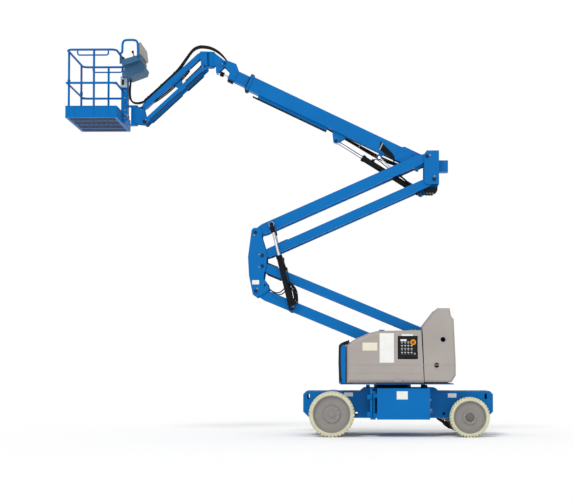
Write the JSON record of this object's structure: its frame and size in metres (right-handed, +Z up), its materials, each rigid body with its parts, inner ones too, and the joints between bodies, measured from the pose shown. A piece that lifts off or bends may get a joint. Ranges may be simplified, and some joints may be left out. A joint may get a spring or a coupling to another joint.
{
  "type": "articulating boom lift",
  "caption": "Self-propelled articulating boom lift: wheeled chassis, turntable, folding parallel arms, telescoping boom, swinging jib and a railed platform.",
  "frame": {"origin": "on the ground, under the middle of the machine's bounding box as it stands in the picture", "axes": "+Z up, -X the way the boom reaches, -Y the machine's left, all in metres"},
  "size_m": [6.0761, 1.5, 5.5849],
  "materials": {
    "blue_paint": "satin",
    "grey_cover": "satin",
    "rim_paint": "satin",
    "cream_rubber": "matte",
    "black_paint": "satin",
    "bright_rod": "polished",
    "black_plastic": "matte",
    "cast_weight": "matte",
    "steel": "satin"
  },
  "bodies": {
    "chassis": {"chassis_frame": "blue_paint", "drive_axle": "black_paint", "steer_axle": "black_paint", "slew_ring": "black_paint"},
    "turntable": {"turntable_frame": "blue_paint", "counterweight": "cast_weight", "rear_covers": "grey_cover", "ground_controls": "black_plastic", "power_pack": "steel"},
    "drive_wheel_left": {"tyre_drive_left": "cream_rubber", "rim_drive_left": "rim_paint"},
    "steer_wheel_left": {"tyre_steer_left": "cream_rubber", "rim_steer_left": "rim_paint"},
    "knuckle_left": {"knuckle_left": "black_paint"},
    "battery_tray_left": {"battery_tray_left": "blue_paint", "battery_pack_left": "black_plastic"},
    "cover_left": {"cover_left": "grey_cover"},
    "drive_wheel_right": {"tyre_drive_right": "cream_rubber", "rim_drive_right": "rim_paint"},
    "steer_wheel_right": {"tyre_steer_right": "cream_rubber", "rim_steer_right": "rim_paint"},
    "knuckle_right": {"knuckle_right": "black_paint"},
    "battery_tray_right": {"battery_tray_right": "blue_paint", "battery_pack_right": "black_plastic"},
    "cover_right": {"cover_right": "grey_cover"},
    "steer_rod": {"steer_rod": "bright_rod"},
    "lower_arm": {"lower_arm": "blue_paint"},
    "lower_link": {"lower_link": "blue_paint"},
    "mid_upright": {"mid_upright": "blue_paint"},
    "upper_arm": {"upper_arm": "blue_paint"},
    "upper_link": {"upper_link": "blue_paint"},
    "riser": {"riser": "blue_paint"},
    "lift_barrels": {"lift_barrels": "black_paint"},
    "lift_rods": {"lift_rods": "bright_rod"},
    "boom": {"boom": "blue_paint"},
    "boom_extension": {"boom_extension": "blue_paint"},
    "boom_barrel": {"boom_barrel": "black_paint"},
    "boom_rod": {"boom_rod": "bright_rod"},
    "master_barrel": {"master_barrel": "black_paint"},
    "master_rod": {"master_rod": "bright_rod"},
    "slave_barrel": {"slave_barrel": "black_paint"},
    "slave_rod": {"slave_rod": "bright_rod"},
    "jib_bracket": {"jib_bracket": "blue_paint"},
    "jib_knuckle": {"jib_knuckle": "blue_paint"},
    "jib_arm": {"jib_arm": "blue_paint"},
    "jib_links": {"jib_links": "blue_paint"},
    "jib_barrel": {"jib_barrel": "black_paint"},
    "jib_rod": {"jib_rod": "bright_rod"},
    "platform_mount": {"platform_mount": "blue_paint"},
    "gate": {"gate": "blue_paint"},
    "platform": {"platform": "blue_paint", "platform_floor": "blue_paint", "platform_controls": "black_plastic"}
  },
  "joints": [
    {"name": "drive_wheel_left_spin", "type": "hinge", "parent": "chassis", "child": "drive_wheel_left", "pos_m": [0.754, -0.66, 0.32], "axis": [0, 1, 0], "continuous": true},
    {"name": "drive_wheel_right_spin", "type": "hinge", "parent": "chassis", "child": "drive_wheel_right", "pos_m": [0.754, 0.66, 0.32], "axis": [0, 1, 0], "continuous": true},
    {"name": "steer", "type": "hinge", "parent": "chassis", "child": "knuckle_left", "pos_m": [2.68, -0.505, 0.28], "axis": [0, 0, 1], "range_deg": [-42, 42]},
    {"name": "steer_right", "type": "hinge", "parent": "chassis", "child": "knuckle_right", "pos_m": [2.68, 0.505, 0.28], "axis": [0, 0, 1], "range_deg": [-42.1, 42.1]},
    {"name": "steer_rod_slide", "type": "slide", "parent": "chassis", "child": "steer_rod", "axis": [0, -1, 0], "range_m": [-0.0896, 0.0896]},
    {"name": "steer_wheel_left_spin", "type": "hinge", "parent": "knuckle_left", "child": "steer_wheel_left", "pos_m": [2.68, -0.66, 0.28], "axis": [0, 1, 0], "continuous": true},
    {"name": "steer_wheel_right_spin", "type": "hinge", "parent": "knuckle_right", "child": "steer_wheel_right", "pos_m": [2.68, 0.66, 0.28], "axis": [0, 1, 0], "continuous": true},
    {"name": "battery_tray_left_hinge", "type": "hinge", "parent": "chassis", "child": "battery_tray_left", "pos_m": [1.345, -0.69, 0.4625], "axis": [0, 0, -1], "range_deg": [0, 95]},
    {"name": "battery_tray_right_hinge", "type": "hinge", "parent": "chassis", "child": "battery_tray_right", "pos_m": [1.345, 0.69, 0.4625], "axis": [0, 0, 1], "range_deg": [0, 95]},
    {"name": "turntable_slew", "type": "hinge", "parent": "chassis", "child": "turntable", "pos_m": [1.62, 0, 0.734], "axis": [0, 0, 1], "range_deg": [-177.5, 177.5]},
    {"name": "cover_left_hinge", "type": "hinge", "parent": "turntable", "child": "cover_left", "pos_m": [1.7, -0.201, 1.506], "axis": [-1, 0, 0], "range_deg": [0, 78]},
    {"name": "cover_right_hinge", "type": "hinge", "parent": "turntable", "child": "cover_right", "pos_m": [1.7, 0.201, 1.506], "axis": [1, 0, 0], "range_deg": [0, 78]},
    {"name": "secondary_lift", "type": "hinge", "parent": "turntable", "child": "lower_arm", "pos_m": [2.22, 0, 1.003], "axis": [0, 1, 0], "range_deg": [-22, 43]},
    {"name": "lower_link_level", "type": "hinge", "parent": "turntable", "child": "lower_link", "pos_m": [2.31, 0, 1.363], "axis": [0, 1, 0], "range_deg": [-22.1, 43.1]},
    {"name": "mid_upright_level", "type": "hinge", "parent": "lower_arm", "child": "mid_upright", "pos_m": [-0.34652, 0, 2.07134], "axis": [0, 1, 0], "range_deg": [-43.1, 22.1]},
    {"name": "upper_arm_level", "type": "hinge", "parent": "mid_upright", "child": "upper_arm", "pos_m": [-0.35652, 0, 2.91834], "axis": [0, 1, 0], "range_deg": [-43.1, 22.1]},
    {"name": "upper_link_level", "type": "hinge", "parent": "mid_upright", "child": "upper_link", "pos_m": [-0.25652, 0, 2.58534], "axis": [0, 1, 0], "range_deg": [-43.1, 22.1]},
    {"name": "riser_level", "type": "hinge", "parent": "upper_arm", "child": "riser", "pos_m": [2.1211, 0, 4.01628], "axis": [0, 1, 0], "range_deg": [-22.1, 43.1]},
    {"name": "lift_barrel_swing", "type": "hinge", "parent": "lower_arm", "child": "lift_barrels", "pos_m": [0.16871, 0, 1.82979], "axis": [0, 1, 0], "range_deg": [-33.37, 17.12]},
    {"name": "lift_rod_slide", "type": "slide", "parent": "lift_barrels", "child": "lift_rods", "axis": [-0.2341, 0, 0.9722], "range_m": [-0.2308, 0.4502]},
    {"name": "primary_lift", "type": "hinge", "parent": "riser", "child": "boom", "pos_m": [2.1211, 0, 4.01628], "axis": [0, 1, 0], "range_deg": [-25.66, 49.34]},
    {"name": "boom_barrel_swing", "type": "hinge", "parent": "riser", "child": "boom_barrel", "pos_m": [2.0311, 0, 3.49028], "axis": [0, 1, 0], "range_deg": [-21.12, 40.51]},
    {"name": "boom_rod_slide", "type": "slide", "parent": "boom_barrel", "child": "boom_rod", "axis": [-0.8452, 0, 0.5344], "range_m": [-0.1981, 0.38]},
    {"name": "master_barrel_swing", "type": "hinge", "parent": "riser", "child": "master_barrel", "pos_m": [2.0311, -0.085, 3.49028], "axis": [0, 1, 0], "range_deg": [-15.97, 30.61]},
    {"name": "master_rod_slide", "type": "slide", "parent": "master_barrel", "child": "master_rod", "axis": [-0.7525, 0, 0.6586], "range_m": [-0.1843, 0.3535]},
    {"name": "slave_barrel_swing", "type": "hinge", "parent": "boom_extension", "child": "slave_barrel", "pos_m": [-0.39127, 0, 5.06792], "axis": [0, 1, 0], "range_deg": [-0.3467, 0.2283]},
    {"name": "slave_rod_slide", "type": "slide", "parent": "slave_barrel", "child": "slave_rod", "axis": [-0.928, 0, 0.3726], "range_m": [-0.1159, 0.0607]},
    {"name": "boom_extend", "type": "slide", "parent": "boom", "child": "boom_extension", "axis": [-0.9014, 0, 0.433], "range_m": [-0.17, 0.74]},
    {"name": "jib_bracket_level", "type": "hinge", "parent": "boom_extension", "child": "jib_bracket", "pos_m": [-0.81654, 0, 5.40202], "axis": [0, 1, 0], "range_deg": [-49.44, 25.76]},
    {"name": "jib_swing", "type": "hinge", "parent": "jib_bracket", "child": "jib_knuckle", "pos_m": [-1.01654, 0, 5.46402], "axis": [0, 0, 1], "range_deg": [-90, 90]},
    {"name": "jib_lift", "type": "hinge", "parent": "jib_knuckle", "child": "jib_arm", "pos_m": [-1.15054, 0, 5.55502], "axis": [0, 1, 0], "range_deg": [-27.3, 107.7]},
    {"name": "jib_links_level", "type": "hinge", "parent": "jib_knuckle", "child": "jib_links", "pos_m": [-1.09954, 0, 5.34402], "axis": [0, 1, 0], "range_deg": [-27.4, 107.8]},
    {"name": "platform_mount_level", "type": "hinge", "parent": "jib_arm", "child": "platform_mount", "pos_m": [-2.02215, 0, 4.75073], "axis": [0, 1, 0], "range_deg": [-107.8, 27.4]},
    {"name": "jib_barrel_swing", "type": "hinge", "parent": "jib_knuckle", "child": "jib_barrel", "pos_m": [-1.14054, 0, 5.39002], "axis": [0, 1, 0], "range_deg": [-27.4, 107.8]},
    {"name": "jib_rod_slide", "type": "slide", "parent": "jib_barrel", "child": "jib_rod", "axis": [-0.7165, 0, -0.6976], "range_m": [-0.0608, 0.2368]},
    {"name": "platform_rotate", "type": "hinge", "parent": "platform_mount", "child": "platform", "pos_m": [-2.13815, 0, 4.75073], "axis": [0, 0, -1], "range_deg": [-90, 90]},
    {"name": "gate_lift", "type": "slide", "parent": "platform", "child": "gate", "axis": [0, 0, 1], "range_m": [0, 0.38]}
  ],
  "couplings": [
    {"joint": "steer_right", "follows": "steer", "ratio": 1},
    {"joint": "steer_rod_slide", "follows": "steer", "m_per_rad": 0.1215},
    {"joint": "lower_link_level", "follows": "secondary_lift", "ratio": 1},
    {"joint": "mid_upright_level", "follows": "secondary_lift", "ratio": -1},
    {"joint": "upper_arm_level", "follows": "secondary_lift", "ratio": -1},
    {"joint": "upper_link_level", "follows": "secondary_lift", "ratio": -1},
    {"joint": "riser_level", "follows": "secondary_lift", "ratio": 1},
    {"joint": "lift_barrel_swing", "follows": "secondary_lift", "ratio": -0.77371},
    {"joint": "lift_rod_slide", "follows": "secondary_lift", "m_per_rad": 0.59856},
    {"joint": "boom_barrel_swing", "follows": "primary_lift", "ratio": 0.81904},
    {"joint": "boom_rod_slide", "follows": "primary_lift", "m_per_rad": 0.4401},
    {"joint": "master_barrel_swing", "follows": "primary_lift", "ratio": 0.61842},
    {"joint": "master_rod_slide", "follows": "primary_lift", "m_per_rad": 0.40935},
    {"joint": "slave_barrel_swing", "follows": "primary_lift", "ratio": -0.005},
    {"joint": "slave_rod_slide", "follows": "primary_lift", "m_per_rad": -0.13338},
    {"joint": "jib_bracket_level", "follows": "primary_lift", "ratio": -1},
    {"joint": "jib_links_level", "follows": "jib_lift", "ratio": 1},
    {"joint": "platform_mount_level", "follows": "jib_lift", "ratio": -1},
    {"joint": "jib_barrel_swing", "follows": "jib_lift", "ratio": 0.99999},
    {"joint": "jib_rod_slide", "follows": "jib_lift", "m_per_rad": 0.12547}
  ]
}
